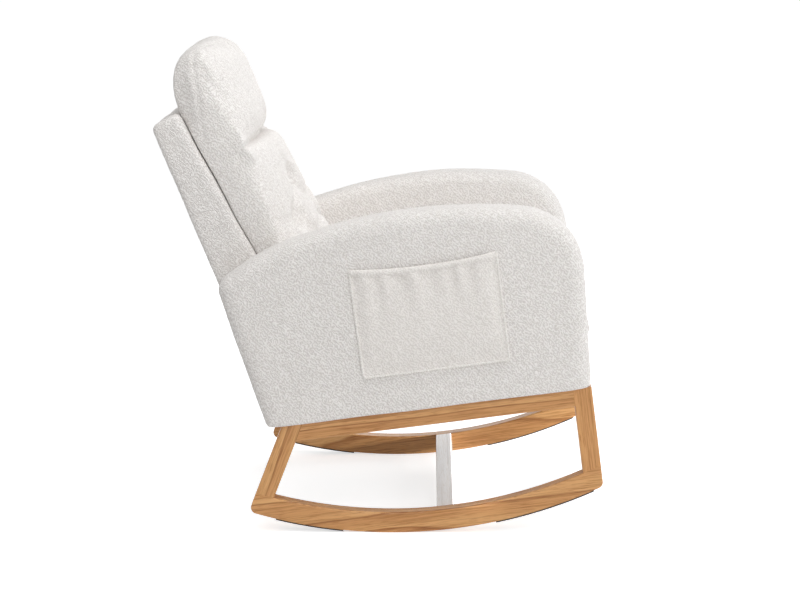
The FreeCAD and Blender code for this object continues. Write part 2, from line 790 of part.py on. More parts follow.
def build_back():
    frame_top = slab_length - slab_top_padding
    post_corners = corner_list([
        (back_y(post_front, 0.0), 0.0), on_back(frame_top, post_front),
        on_back(frame_top, post_rear), (back_y(post_rear, 0.0), 0.0),
    ])
    post_bolts, post_holes = [], []
    for start, end in post_bolt_ends():
        post_bolts.append(bolt(start, end, bolt_radius, bolt_head_radius, bolt_head_height))
        post_holes.append(rod(start, end.add(V(0, bolt_clearance, 0)), bolt_radius + bolt_clearance))
    screws, screw_holes = [], []
    for level in back_rail_levels:
        middle = on_back(level + back_rail_width / 2, (post_front + post_rear) / 2)
        start = at(post_outside - back_screw_head_height, middle)
        end = start.sub(X_AXIS * back_screw_length)
        sizes = (back_screw_radius, back_screw_head_radius, back_screw_head_height)
        screws.append(bolt(start, end, *sizes))
        screw_holes.append(bolt_hole(start, end, *sizes))
    screw_holes = on_both_sides(screw_holes)
    board_holes = [rod(a, b.add(b.sub(a).normalize() * bolt_clearance), board_bolt_radius + bolt_clearance)
                   for a, b in board_bolt_ends()]
    side_pair("back_post", prism(post_corners, post_inside, post_outside).cut(post_holes + screw_holes))
    for name, level in zip(("bottom", "middle", "top"), back_rail_levels):
        strip = back_strip(post_front, post_rear, level, level + back_rail_width)
        rail = prism(strip, -post_inside, post_inside)
        nodes["back_" + name + "_rail"] = rail.cut(screw_holes + board_holes)
    group("back_frame_screws", on_both_sides(screws))
    group("post_bolts", post_bolts)

    slab_corners = [
        (back_foot_y, 0.0, 0.0),
        on_back(slab_length, 0.0) + (slab_corner_radius,),
        on_back(slab_length, -slab_top_thickness) + (slab_corner_radius,),
        (slab_foot_y, 0.0, 0.0),
    ]
    slab = prism(slab_corners, -slab_half_width, slab_half_width)
    slab = slab.makeFillet(slab_edge_radius, edges_at(slab, -slab_half_width, slab_half_width))
    paddings = [slab_front_padding - soft_gap, slab_top_padding - soft_gap, slab_rear_padding, -cut_over]
    cavity_corners = inset(corner_list(slab_corners), paddings)
    cavity = prism(cavity_corners, -post_outside - soft_gap, post_outside + soft_gap)
    nodes["outer_back"] = slab.cut([cavity] + post_holes + board_holes)


# Back cushions, drawn upright with their front towards -y and then leaned back

def boxing_at(level):
    """How deep the boxed side of the back cushions is at a level."""
    return boxing_depth + (level - crease_level) * math.tan(math.radians(boxing_taper))


def back_section(level, half, rear, side, front):
    """A section across a back cushion: flat behind, bulging sides and an arched front."""
    corners = [V(half, -rear, level), V(-half, -rear, level), V(-half, -side, level), V(half, -side, level)]
    bulge = inner_back_side_bulge
    middle = -(rear + side) / 2
    return Part.Wire([
        Part.LineSegment(corners[0], corners[1]).toShape(),
        Part.Arc(corners[1], V(-half - bulge, middle, level), corners[2]).toShape(),
        Part.Arc(corners[2], V(0, -front, level), corners[3]).toShape(),
        Part.Arc(corners[3], V(half + bulge, middle, level), corners[0]).toShape(),
    ])


def lumbar_section(level):
    """The lower cushion: an even crown that rolls under towards the crease below the head."""
    top = crease_level - soft_gap
    near = end_round(top - level, lumbar_round)
    drawn = inner_back_draw_in * math.sin(math.pi * (level - lumbar_foot) / (top - lumbar_foot))
    half = inner_back_half_width - inner_back_side_bulge - drawn - crease_corner_round * near
    side = boxing_at(level) - crease_side_drop * near
    return back_section(level, half, board_gap + soft_gap, side, lumbar_crown - lumbar_drop * near)


def head_section(level):
    """The head cushion: it swells forward towards its top, and is rounded all round there."""
    rise = head_top_level - crease_level
    low = end_round(level - crease_level, head_foot_round)
    high = end_round(head_top_level - level, head_top_round)
    drawn = inner_back_draw_in * math.sin(math.pi * (level - crease_level) / rise)
    half = inner_back_half_width - inner_back_side_bulge - drawn
    half -= crease_corner_round * low + head_corner_round * high
    side = boxing_at(level) - crease_side_drop * (low + high)
    lean = head_foot_set_back * (1 - (level - crease_level) / rise)
    front = head_crown - lean - head_foot_drop * low - head_top_drop * high
    rear = board_gap + soft_gap + head_rear_round * end_round(head_top_level - level, head_rear_rise)
    return back_section(level, half, rear, side, front)


def leaned(shape):
    """Takes a shape from the upright back frame to its place in the chair."""
    shape.rotate(V(0, 0, 0), X_AXIS, -back_recline)
    shape.translate(V(0, back_foot_y, 0))
    return shape


def crown_at(shape, x, level):
    """How far forward a cushion's front stands at a place on it."""
    ray = Part.LineSegment(V(x, -board_gap - board_thickness, level), V(x, -BIG, level)).toShape()
    return -shape.common(ray).BoundBox.YMin


def tuft_places():
    return [(x, level) for level, row in tuft_rows for x in row]


def pleats(shape):
    """Rods that press a fold into a cushion from each tuft to its neighbours in the next row."""
    rods = []
    for (level, row), (next_level, next_row) in zip(tuft_rows, tuft_rows[1:]):
        for x in row:
            for next_x in next_row:
                if abs(next_x - x) < abs(tuft_rows[0][1][1] - tuft_rows[0][1][0]):
                    lift = pleat_radius - pleat_depth
                    start = V(x, -crown_at(shape, x, level) - lift, level)
                    end = V(next_x, -crown_at(shape, next_x, next_level) - lift, next_level)
                    rods.append(rod(start, end, pleat_radius))
    return rods


def build_inner_back():
    lumbar_levels = eased_steps(lumbar_foot, crease_level - soft_gap, loft_steps)
    lumbar = Part.makeLoft([lumbar_section(level) for level in lumbar_levels], True, False)
    head_levels = eased_steps(crease_level, head_top_level, loft_steps)
    head = Part.makeLoft([head_section(level) for level in head_levels], True, False)
    board_front = -board_gap - board_thickness
    recess_x = board_half_width + soft_gap
    recess = box(-recess_x, recess_x, board_front - soft_gap, 0, board_foot - soft_gap, board_top + soft_gap)
    dimples, buttons, twine_holes = [], [], []
    fill_x = board_half_width - fill_margin
    lumbar_fill = box(-fill_x, fill_x, board_front - lumbar_fill_depth, board_front,
                      board_foot + fill_margin, crease_level - fill_margin)
    fill_foot, fill_front = crease_level + fill_margin, board_front - head_fill_depth
    head_fill = box(-fill_x, fill_x, fill_front, board_front, fill_foot, board_top - fill_margin)
    over_board = box(-fill_x, fill_x, fill_front, board_front - head_fill_rear_wall,
                     fill_foot, head_top_level - head_fill_under_top)
    rim = tuft_radius - math.sqrt(tuft_radius ** 2 - button_radius ** 2) + soft_gap
    for x, level in tuft_places():
        front = crown_at(lumbar, x, level)
        seat = -(front - tuft_depth)
        dimples.append(Part.makeSphere(tuft_radius, V(x, seat - tuft_radius, level)))
        dome = Part.makeSphere(button_radius * 2, V(x, seat - button_height + button_radius * 2, level))
        disc = rod(V(x, seat - rim, level), V(x, seat - button_height, level), button_radius)
        twine = rod(V(x, board_front, level), V(x, seat - button_height / 2, level), twine_radius)
        buttons.append(disc.common(dome).fuse(twine).removeSplitter())
        twine_holes.append(rod(V(x, board_front, level), V(x, seat - rim, level), twine_radius + soft_gap))
    bolts, heads, spacers = [], [], []
    for start, end in board_bolt_ends():
        along = end.sub(start).normalize()
        bolts.append(bolt(start, end, board_bolt_radius, board_bolt_head_radius, board_bolt_head_height))
        heads.append(rod(start.sub(along * (board_bolt_head_height + soft_gap)), start,
                         board_bolt_head_radius + soft_gap))
        near = start.add(along * board_thickness)
        ring = rod(near, near.add(along * board_gap), spacer_radius)
        spacers.append(ring.cut(rod(start, end, board_bolt_radius + bolt_clearance)))
    board = box(-board_half_width, board_half_width, board_front, -board_gap, board_foot, board_top)
    board_holes = [rod(a, b, board_bolt_radius + bolt_clearance) for a, b in board_bolt_ends()]
    nodes["cushion_board"] = leaned(board).cut(board_holes)
    under = box(-BIG, BIG, -BIG, BIG, -BIG, cushion_top + soft_gap)
    for tuft_cut in pleats(lumbar) + dimples:
        lumbar = lumbar.cut(tuft_cut)
    lumbar = leaned(lumbar.cut([recess.fuse(lumbar_fill)] + twine_holes)).cut([under] + heads)
    nodes["back_cushion"] = lumbar
    nodes["head_cushion"] = leaned(head.cut([recess, head_fill.fuse(over_board)])).cut(heads)
    group("tuft_buttons", [leaned(b) for b in buttons])
    group("board_bolts", bolts)
    group("board_spacers", spacers)


def place_at_rest():
    """Leans the chair back on its rockers, stands it on z = 0 and centres it over the origin."""
    for shape in nodes.values():
        shape.rotate(V(0, rocker_middle_y, rocker_centre_z), X_AXIS, -rest_lean)
    boxes = [s.optimalBoundingBox(False, False) for s in nodes.values()]
    y_middle = (min(b.YMin for b in boxes) + max(b.YMax for b in boxes)) / 2
    for shape in nodes.values():
        shape.translate(V(0, -y_middle, rocker_radius - rocker_centre_z))
    print("contact line at y", round(rocker_middle_y - y_middle, 2), "moved by", round(-y_middle, 2))


def main():
    build_rocker_frames()
    build_stretcher()
    build_pads()
    build_arms()
    build_pockets()
    build_seat()
    build_back()
    build_inner_back()
    place_at_rest()
    os.makedirs("parts", exist_ok=True)
    for name, shape in nodes.items():
        shape.exportStep("parts/" + name + ".step")


main()
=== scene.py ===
import math

import bmesh
import bpy
import numpy as np
from mathutils import Matrix, Vector, noise
from mathutils.bvhtree import BVHTree
from mathutils.kdtree import KDTree


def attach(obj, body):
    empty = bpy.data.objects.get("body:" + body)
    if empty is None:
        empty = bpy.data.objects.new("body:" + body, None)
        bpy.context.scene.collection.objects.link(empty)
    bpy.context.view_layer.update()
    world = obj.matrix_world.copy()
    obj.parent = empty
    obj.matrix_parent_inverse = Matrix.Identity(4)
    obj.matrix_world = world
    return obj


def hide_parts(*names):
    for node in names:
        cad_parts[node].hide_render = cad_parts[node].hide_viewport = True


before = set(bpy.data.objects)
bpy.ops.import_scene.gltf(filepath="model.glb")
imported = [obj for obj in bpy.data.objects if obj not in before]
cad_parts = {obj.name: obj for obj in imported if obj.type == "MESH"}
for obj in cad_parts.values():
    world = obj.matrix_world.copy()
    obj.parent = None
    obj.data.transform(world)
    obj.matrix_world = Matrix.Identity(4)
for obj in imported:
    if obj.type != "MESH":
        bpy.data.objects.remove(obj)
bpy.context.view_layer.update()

# An upholstered rocking chair. +X is the sitter's left, +Y the back of the chair and +Z up, in metres.
# The chair frame and the back frame below are only turned, so that boxes in them follow the leaning parts.

LEAN = math.radians(7.5)
RECLINE = math.radians(20.5)
CHAIR = Matrix.Rotation(-LEAN, 3, "X")
BACK = Matrix.Rotation(-LEAN - RECLINE, 3, "X")
MM = 0.001


# Meshes

def points_of(mesh):
    flat = np.empty(len(mesh.vertices) * 3, np.float32)
    mesh.vertices.foreach_get("co", flat)
    return flat.reshape(-1, 3).astype(float)


def normals_of(mesh):
    flat = np.empty(len(mesh.vertices) * 3, np.float32)
    mesh.vertices.foreach_get("normal", flat)
    return flat.reshape(-1, 3).astype(float)


def set_points(mesh, points):
    mesh.vertices.foreach_set("co", points.astype(np.float32).ravel())
    mesh.update()


def turned(points, turn):
    """Points of the row frame, seen in a turned frame."""
    return points @ np.array(turn)


def straightened(points, turn):
    """Points of a turned frame, back in the row frame."""
    return points @ np.array(turn).T


def node_points(*nodes):
    return np.vstack([points_of(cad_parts[n].data) for n in nodes])


def local_box(turn, *nodes):
    """Lowest and highest corner of CAD nodes in a turned frame."""
    local = turned(node_points(*nodes), turn)
    return local.min(0), local.max(0)


def piece_of(name, mesh, material):
    """A new piece of the chair that rides on its one body."""
    mesh.name = name
    obj = bpy.data.objects.new(name, mesh)
    bpy.context.scene.collection.objects.link(obj)
    mesh.materials.clear()
    mesh.materials.append(material)
    mesh.shade_smooth()
    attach(obj, "root")
    return obj


def mesh_of(vertices, faces):
    mesh = bpy.data.meshes.new("made")
    mesh.from_pydata([tuple(v) for v in vertices], [], faces)
    mesh.validate()
    mesh.update()
    return mesh


def with_modifiers(mesh, *settings):
    """The mesh after a row of modifiers, each (type, {setting: value})."""
    obj = bpy.data.objects.new("work", mesh)
    bpy.context.scene.collection.objects.link(obj)
    for kind, values in settings:
        modifier = obj.modifiers.new(kind, kind)
        for key, value in values.items():
            setattr(modifier, key, value)
    graph = bpy.context.evaluated_depsgraph_get()
    made = bpy.data.meshes.new_from_object(obj.evaluated_get(graph))
    bpy.data.objects.remove(obj)
    bpy.data.meshes.remove(mesh)
    return made


def box_into(bm, low, high):
    """Adds a closed box, given by two corners, to a bmesh."""
    middle, size = (np.array(low) + high) / 2, np.array(high) - low
    place = Matrix.Translation(Vector(middle)) @ Matrix.Diagonal(Vector(size)).to_4x4()
    bmesh.ops.create_cube(bm, size=1.0, matrix=place)


def union(nodes, fillers, turn, voxel, smoothing, sunk=None):
    """One closed, even mesh round CAD solids and filler boxes. It is made in a turned frame, so that flat
    faces stay flat. sunk moves the last of several solids into the others."""
    bm = bmesh.new()
    for n in nodes:
        bm.from_mesh(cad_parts[n].data)
        before = len(bm.verts) - len(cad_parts[n].data.vertices)
    if sunk is not None:
        bm.verts.ensure_lookup_table()
        for vertex in bm.verts[before:]:
            vertex.co += sunk
    bm.transform(turn.inverted().to_4x4())
    for low, high in fillers:
        box_into(bm, low, high)
    mesh = bpy.data.meshes.new("union")
    bm.to_mesh(mesh)
    bm.free()
    mesh = with_modifiers(
        mesh,
        ("REMESH", {"mode": "VOXEL", "voxel_size": voxel}),
        ("SMOOTH", {"factor": 0.5, "iterations": smoothing}),
    )
    mesh.transform(turn.to_4x4())
    return mesh


def subdivided(mesh):
    return with_modifiers(mesh, ("SUBSURF", {"levels": 1, "render_levels": 1}))


NUB_HEIGHT, NUB_LENGTH = 0.5 * MM, 8 * MM
NUB_CLEAR_RISE = 25 * MM


def nubbed(mesh, height=NUB_HEIGHT, wavelength=NUB_LENGTH):
    """Raises the small, uneven nubs of the curled pile along the outline. Undersides stay plain."""
    points, normals = points_of(mesh), normals_of(mesh)
    local = turned(points, CHAIR)
    clear = np.clip((local[:, 2] - local[:, 2].min()) / NUB_CLEAR_RISE - 0.2, 0.0, 1.0)
    lift = np.array([noise.noise(Vector(p) / wavelength) for p in points]) * clear
    set_points(mesh, points + normals * (lift * height)[:, None])


def inflate(mesh, pinned, pressure, cap, frames=20):
    """Blows the mesh up like a stuffed cover. pinned is a mask of the points that stay."""
    start = points_of(mesh)
    obj = bpy.data.objects.new("cloth", mesh)
    bpy.context.scene.collection.objects.link(obj)
    pins = obj.vertex_groups.new(name="pins")
    pins.add([int(i) for i in np.nonzero(pinned)[0]], 1.0, "REPLACE")
    modifier = obj.modifiers.new("cloth", "CLOTH")
    cloth = modifier.settings
    cloth.quality = 5
    cloth.mass = 0.3
    cloth.tension_stiffness = 15
    cloth.compression_stiffness = 15
    cloth.shear_stiffness = 8
    cloth.bending_stiffness = 1.0
    cloth.use_pressure = True
    cloth.uniform_pressure_force = pressure
    cloth.effector_weights.gravity = 0
    cloth.vertex_group_mass = "pins"
    modifier.point_cache.frame_start = 1
    modifier.point_cache.frame_end = frames
    scene = bpy.context.scene
    for step in range(1, frames + 1):
        scene.frame_set(step)
    graph = bpy.context.evaluated_depsgraph_get()
    blown = points_of(obj.evaluated_get(graph).data)
    scene.frame_set(1)
    obj.modifiers.clear()
    bpy.data.objects.remove(obj)
    move = blown - start
    length = np.linalg.norm(move, axis=1)
    tiny = 1e-9
    move *= np.minimum(1.0, cap / np.maximum(length, tiny))[:, None]
    set_points(mesh, start + move)


def smoothed(mesh, rounds):
    return with_modifiers(mesh, ("SMOOTH", {"factor": 0.5, "iterations": rounds}))


def ring_faces(rings, sides):
    """Faces between rings of points that close on themselves."""
    faces = []
    for i in range(rings - 1):
        for k in range(sides):
            m = (k + 1) % sides
            faces.append((i * sides + k, i * sides + m, (i + 1) * sides + m, (i + 1) * sides + k))
    return faces


def grid_faces(rows, columns, flipped=False):
    """Faces of a sheet of points in rows."""
    faces = [(j * columns + i, j * columns + i + 1, (j + 1) * columns + i + 1, (j + 1) * columns + i)
             for j in range(rows - 1) for i in range(columns - 1)]
    return [f[::-1] for f in faces] if flipped else faces


def tube(path, radius, sides, beads, bead_length):
    """A round welt along points. beads makes its radius swell and shrink like stitches, along its length."""
    path = [Vector(p) for p in path]
    count = len(path)
    vertices = []
    run = 0.0
    side = None
    for i, p in enumerate(path):
        before = path[i - 1] if i else p
        after = path[i + 1] if i < count - 1 else p
        along = (after - before).normalized()
        if side is None:
            side = along.orthogonal().normalized()
        side = (side - along * side.dot(along)).normalized()
        up = along.cross(side)
        run += (p - path[i - 1]).length if i else 0.0
        r = radius * (1 + beads * math.sin(2 * math.pi * run / bead_length))
        for k in range(sides):
            a = 2 * math.pi * k / sides
            vertices.append(p + side * (r * math.cos(a)) + up * (r * math.sin(a)))
    faces = ring_faces(count, sides)
    faces.append(tuple(range(sides))[::-1])
    faces.append(tuple(range((count - 1) * sides, count * sides)))
    return mesh_of(vertices, faces)


def resampled(path, step):
    """Points at even steps along a path."""
    path = np.array(path, float)
    lengths = np.concatenate([[0], np.cumsum(np.linalg.norm(np.diff(path, axis=0), axis=1))])
    marks = np.linspace(0, lengths[-1], max(2, int(round(lengths[-1] / step)) + 1))
    return np.stack([np.interp(marks, lengths, path[:, k]) for k in range(3)], axis=1)


def eased(value):
    """0 below 0 and 1 above 1, with a soft step between them."""
    value = np.clip(value, 0.0, 1.0)
    return value * value * (3 - 2 * value)


# Materials

def linear(*srgb):
    """A colour written as sRGB, 11 to 255, for a shader."""
    return tuple(((c / 255 + 0.055) / 1.055) ** 2.4 for c in srgb) + (1.0,)


class Shader:
    """A small helper that builds a material's node tree."""

    def __init__(self, name):
        self.material = bpy.data.materials.new(name)
        self.material.use_nodes = True
        self.tree = self.material.node_tree
        self.surface = self.tree.nodes["Principled BSDF"]
        self.place = self.add("ShaderNodeTexCoord").outputs["Object"]

    def add(self, kind, **values):
        node = self.tree.nodes.new(kind)
        for key, value in values.items():
            setattr(node, key, value)
        return node

    def link(self, source, target):
        self.tree.links.new(source, target)

    def turn(self, source, rotation=(0, 0, 0), scale=(1, 1, 1), move=(0, 0, 0)):
        node = self.add("ShaderNodeMapping")
        node.inputs["Rotation"].default_value = rotation
        node.inputs["Scale"].default_value = scale
        node.inputs["Location"].default_value = move
        self.link(source, node.inputs["Vector"])
        return node.outputs["Vector"]

    def noise(self, source, scale, detail=2.0, roughness=0.5):
        node = self.add("ShaderNodeTexNoise")
        self.link(source, node.inputs["Vector"])
        node.inputs["Scale"].default_value = scale
        node.inputs["Detail"].default_value = detail
        node.inputs["Roughness"].default_value = roughness
        return node.outputs["Fac"]

    def waves(self, source, way, wavelength, seed):
        """Wavy ridges across a direction, from 0 to 1."""
        node = self.add("ShaderNodeTexWave", wave_type="BANDS", bands_direction="X", wave_profile="SIN")
        rotation = Vector(way).rotation_difference(Vector((1, 0, 0))).to_euler()
        self.link(self.turn(source, rotation=rotation, move=(seed, seed, seed)), node.inputs["Vector"])
        node.inputs["Scale"].default_value = 2 * math.pi / (20 * wavelength)
        node.inputs["Distortion"].default_value = 4.2
        node.inputs["Detail"].default_value = 0.0
        node.inputs["Detail Scale"].default_value = 2.4
        return node.outputs["Fac"]

    def between(self, factor, a, b):
        """A value from a to b by a factor."""
        node = self.add("ShaderNodeMix", data_type="FLOAT")
        for socket, source in zip((node.inputs[0], node.inputs[2], node.inputs[3]), (factor, a, b)):
            self.link(source, socket)
        return node.outputs[0]

    def math(self, operation, a, b):
        node = self.add("ShaderNodeMath", operation=operation)
        for socket, value in zip(node.inputs, (a, b)):
            if isinstance(value, (int, float)):
                socket.default_value = value
            else:
                self.link(value, socket)
        return node.outputs[0]

    def ramp(self, source, *stops):
        """Colours by a factor: each stop is (position, colour)."""
        node = self.add("ShaderNodeValToRGB")
        elements = node.color_ramp.elements
        while len(elements) < len(stops):
            elements.new(1.0)
        for element, (position, colour) in zip(elements, stops):
            element.position = position
            element.color = colour
        self.link(source, node.inputs["Fac"])
        return node.outputs["Color"]

    def scaled(self, source, low, high, from_low=0.0, from_high=1.0):
        node = self.add("ShaderNodeMapRange")
        self.link(source, node.inputs["Value"])
        node.inputs["From Min"].default_value = from_low
        node.inputs["From Max"].default_value = from_high
        node.inputs["To Min"].default_value = low
        node.inputs["To Max"].default_value = high
        return node.outputs["Result"]

    def mix(self, kind, factor, a, b):
        node = self.add("ShaderNodeMix", data_type="RGBA", blend_type=kind)
        for socket, value in zip((node.inputs[0], node.inputs[6], node.inputs[7]), (factor, a, b)):
            if isinstance(value, (int, float, tuple)):
                socket.default_value = value
            else:
                self.link(value, socket)
        return node.outputs[2]

    def bump(self, height, distance, strength=1.0):
        node = self.add("ShaderNodeBump")
        node.inputs["Distance"].default_value = distance
        node.inputs["Strength"].default_value = strength
        self.link(height, node.inputs["Height"])
        return node.outputs["Normal"]

    def finish(self, colour=None, normal=None, roughness=None, **constants):
        for source, key in ((colour, "Base Color"), (normal, "Normal"), (roughness, "Roughness")):
            if source is not None:
                self.link(source, self.surface.inputs[key])
        for key, value in constants.items():
            self.surface.inputs[key.replace("_", " ")].default_value = value
        return self.material


def boucle(name, light, painted_gap_shade, curl=0.0046, relief=0.0007):
    """Teddy cloth: a short pile of curled loops, whose ridges are paler than the gaps between them; the
    darker gaps are painted shade.
    The loops lie in patches that run three ways."""
    s = Shader(name)

    def patch(seed):
        spread = s.noise(s.turn(s.place, move=(seed, seed, seed)), 0.8 / curl, detail=0.0)
        return s.scaled(spread, 0.0, 1.0, 0.45, 0.55)

    level = s.waves(s.place, (0.6, 0.75, 0.28), curl, 0.0)
    steep = s.waves(s.place, (-0.6, -0.2, 0.77), curl, 1.7)
    slant = s.waves(s.place, (0.6, -0.57, 0.57), curl, 3.1)
    pile = s.between(patch(5.3), s.between(patch(2.9), level, steep), slant)
    drift = s.noise(s.place, 14.0, detail=2.0)
    # Pale on the ridges of the loops and darker in the gaps between them: the darker colour is painted shade
    # in the pile.
    tone = s.ramp(pile, (0.0, painted_gap_shade), (1.0, light))
    patches = s.ramp(drift, (0.35, (0.985, 0.985, 0.985, 1)), (0.65, (1, 1, 1, 1)))
    colour = s.mix("MULTIPLY", 1.0, tone, patches)
    normal = s.bump(pile, relief)
    return s.finish(colour, normal, Roughness=0.95, Sheen_Weight=0.2, Sheen_Roughness=0.5,
                    Specular_IOR_Level=0.1)


def wood(name, turn, pale, middle, dark, seed, figure=7.0, contrast=1.0, lacquer=0.15):
    """Lacquered wood, its grain along the turned frame's y: growth rings, fibre streaks and small pores."""
    s = Shader(name)
    board = s.turn(s.place, rotation=turn, move=(seed * 0.37, seed * 0.91, seed * 0.13))
    slow = s.turn(board, scale=(1.0, 0.11, 1.0))
    warp = s.noise(slow, 9.0, detail=2.0)
    rings = s.add("ShaderNodeTexWave", wave_type="RINGS", rings_direction="Y", wave_profile="SAW")
    s.link(slow, rings.inputs["Vector"])
    rings.inputs["Scale"].default_value = figure
    rings.inputs["Distortion"].default_value = 5.5
    rings.inputs["Detail"].default_value = 2.0
    rings.inputs["Detail Scale"].default_value = 1.1
    fibres = s.noise(s.turn(board, scale=(260.0, 6.0, 260.0)), 1.0, detail=4.0, roughness=0.62)
    pores = s.noise(s.turn(board, scale=(800.0, 28.0, 800.0)), 1.0, detail=1.0)
    figure_tone = s.ramp(rings.outputs["Fac"], (0.0, pale), (0.5, middle), (0.84, middle), (0.94, dark),
                         (1.0, pale))
    streaks = s.ramp(fibres, (0.36, (0.76, 0.66, 0.54, 1)), (0.54, (1.04, 1.03, 1.02, 1)))
    dashes = s.ramp(pores, (0.33, (0.74, 0.64, 0.52, 1)), (0.42, (1, 1, 1, 1)))
    shades = s.ramp(warp, (0.3, (0.93, 0.9, 0.86, 1)), (0.7, (1.05, 1.05, 1.05, 1)))
    colour = figure_tone
    for layer in (streaks, dashes, shades):
        colour = s.mix("MULTIPLY", contrast, colour, layer)
    height = s.math("ADD", fibres, s.scaled(pores, 0.0, 0.6, 0.35, 0.5))
    normal = s.bump(height, 0.00025, strength=0.6)
    rough = s.scaled(fibres, 0.45, 0.32)
    return s.finish(colour, normal, rough, Specular_IOR_Level=0.4, Coat_Weight=lacquer, Coat_Roughness=0.1)


def plain(name, colour, spots, roughness, grain=0.002, relief=0.0001, metallic=0.0):
    """A finish with fine, uneven tone and roughness: metal, plastic, rubber, felt or non-woven cloth."""
    s = Shader(name)
    fine = s.noise(s.place, 1 / grain, detail=3.0, roughness=0.6)
    broad = s.noise(s.place, 0.06 / grain, detail=2.0)
    tone = s.ramp(s.math("MULTIPLY", s.math("ADD", fine, broad), 0.5), (0.32, spots), (0.62, colour))
    rough = s.scaled(fine, roughness * 1.12, roughness * 0.85, 0.3, 0.7)
    return s.finish(tone, s.bump(fine, relief), rough, Metallic=metallic)


def grain_along(angle):
    """The rotation that lays a timber's length, leaning by an angle from the floor, along y."""
    return (angle, 0.0, 0.0)


# The pale colour is the cloth's own white. The darker colour, in the gaps between the loops, is painted
# shade.
WHITE_LIGHT = linear(251, 248, 245)
WHITE_PAINTED_GAP_SHADE = linear(224, 219, 215)
cloth = boucle("boucle", WHITE_LIGHT, WHITE_PAINTED_GAP_SHADE)
# The second colour of the pocket, button and welt cloths is painted shade in the gaps between the loops too.
pocket_cloth = boucle("pocket_boucle", linear(250, 246, 242), linear(230, 225, 220), relief=0.0005)
button_cloth = boucle("button_boucle", WHITE_LIGHT, WHITE_PAINTED_GAP_SHADE, curl=0.004, relief=0.0005)
welt_cloth = boucle("welt_boucle", linear(250, 248, 244), linear(236, 231, 226), curl=0.004, relief=0.0004)

PALE, MIDDLE, DARK = linear(222, 172, 114), linear(206, 152, 95), linear(166, 110, 58)
SPLAY = math.radians(28.5)
UPRIGHT = LEAN + math.pi / 2
BOARD_FIGURE, LEG_FIGURE = 13.0, 18.0
wood_rail = wood("rocker_wood_rail", grain_along(LEAN), PALE, MIDDLE, DARK, 1, BOARD_FIGURE)
wood_rocker = wood("rocker_wood_rocker", grain_along(LEAN), PALE, MIDDLE, DARK, 2, BOARD_FIGURE)
wood_leg = wood("rocker_wood_leg", grain_along(UPRIGHT), PALE, MIDDLE, DARK, 3, LEG_FIGURE)
wood_rear = wood("rocker_wood_rear", grain_along(UPRIGHT - SPLAY), PALE, MIDDLE, DARK, 4, LEG_FIGURE)
# The stretcher is painted near white as a painted highlight of strong light on its top face. The real
# stretcher is the same wood as the rest of the base.
stretcher = wood("stretcher_wood", (0, 0, math.pi / 2), linear(252, 249, 247), linear(246, 242, 240),
                 linear(226, 219, 216), 5, contrast=0.35, lacquer=1.0)
timber = wood("frame_timber", grain_along(LEAN), linear(224, 194, 148), linear(208, 174, 124),
              linear(176, 136, 86), 6)
plywood = wood("plywood", grain_along(LEAN + RECLINE), linear(220, 188, 142), linear(206, 170, 122),
               linear(178, 138, 92), 7)
beech = wood("dowel_beech", grain_along(LEAN), linear(226, 190, 146), linear(212, 172, 126),
             linear(188, 144, 98), 8)
rubber = plain("anti_slip", linear(46, 43, 41), linear(30, 28, 27), 0.8)
zinc = plain("zinc_steel", linear(196, 196, 192), linear(168, 168, 166), 0.34, metallic=1.0)
spring_steel = plain("spring_steel", linear(128, 128, 131), linear(88, 88, 92), 0.4, metallic=1.0)
plastic = plain("clip_plastic", linear(232, 232, 228), linear(218, 218, 214), 0.45)
felt = plain("felt", linear(150, 150, 152), linear(104, 104, 108), 0.95, grain=0.004, relief=0.0006)
dust_cloth = plain("dust_cloth", linear(48, 48, 50), linear(30, 30, 32), 0.9, grain=0.003, relief=0.0003)

FINISHES = {
    wood_rail: ("side_rail_left", "side_rail_right"),
    wood_rocker: ("rocker_left", "rocker_right"),
    wood_leg: ("front_leg_left", "front_leg_right"),
    wood_rear: ("rear_leg_left", "rear_leg_right"),
    stretcher: ("cross_stretcher",),
    timber: ("arm_board_left", "arm_board_right", "seat_front_rail", "seat_rear_rail", "seat_side_rail_left",
             "seat_side_rail_right", "corner_blocks", "back_post_left", "back_post_right", "back_bottom_rail",
             "back_middle_rail", "back_top_rail"),
    plywood: ("cushion_board",),
    beech: ("frame_dowels", "stretcher_dowels"),
    rubber: ("rocker_front_pads", "rocker_rear_pads"),
    zinc: ("base_bolts", "base_inserts", "arm_bolts", "post_bolts", "board_bolts", "back_frame_screws"),
    spring_steel: ("seat_springs",),
    plastic: ("spring_clips", "board_spacers"),
}
for material, names in FINISHES.items():
    for name in names:
        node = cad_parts[name]
        node.data.materials.clear()
        node.data.materials.append(material)


# Arms and outer back: tight covers over foam

COVER_GRID, COVER_SMOOTHING = 5 * MM, 4
COVER_SWELL, COVER_SWELL_LENGTH = 0.7 * MM, 160 * MM
# How far the covers of the outer and the inner back fill out towards each other
BACK_FULLNESS = 1.1 * MM


def lumps(points, height, wavelength, seed):
    """Slow, uneven swelling of a padded cover, by a sum of crossed waves."""
    rng = np.random.default_rng(seed)
    lift = np.zeros(len(points))
    waves = 7
    for _ in range(waves):
        direction = rng.normal(size=3)
        direction /= np.linalg.norm(direction)
        length = wavelength * rng.uniform(0.7, 1.5)
        lift += np.sin(points @ direction * (2 * math.pi / length) + rng.uniform(0, 2 * math.pi))
    return lift * (height / math.sqrt(waves))


def uneven(mesh, height, wavelength, seed):
    """Lets a cover swell unevenly."""
    points, normals = points_of(mesh), normals_of(mesh)
    set_points(mesh, points + normals * lumps(points, height, wavelength, seed)[:, None])


def build_arms():
    for side in ("left", "right"):
        mesh = union(["arm_pad_" + side], [], CHAIR, COVER_GRID, COVER_SMOOTHING)
        uneven(mesh, COVER_SWELL, COVER_SWELL_LENGTH, 11)
        nubbed(mesh)
        arm = piece_of("arm_cover_" + side, mesh, cloth)
        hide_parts("arm_pad_" + side)


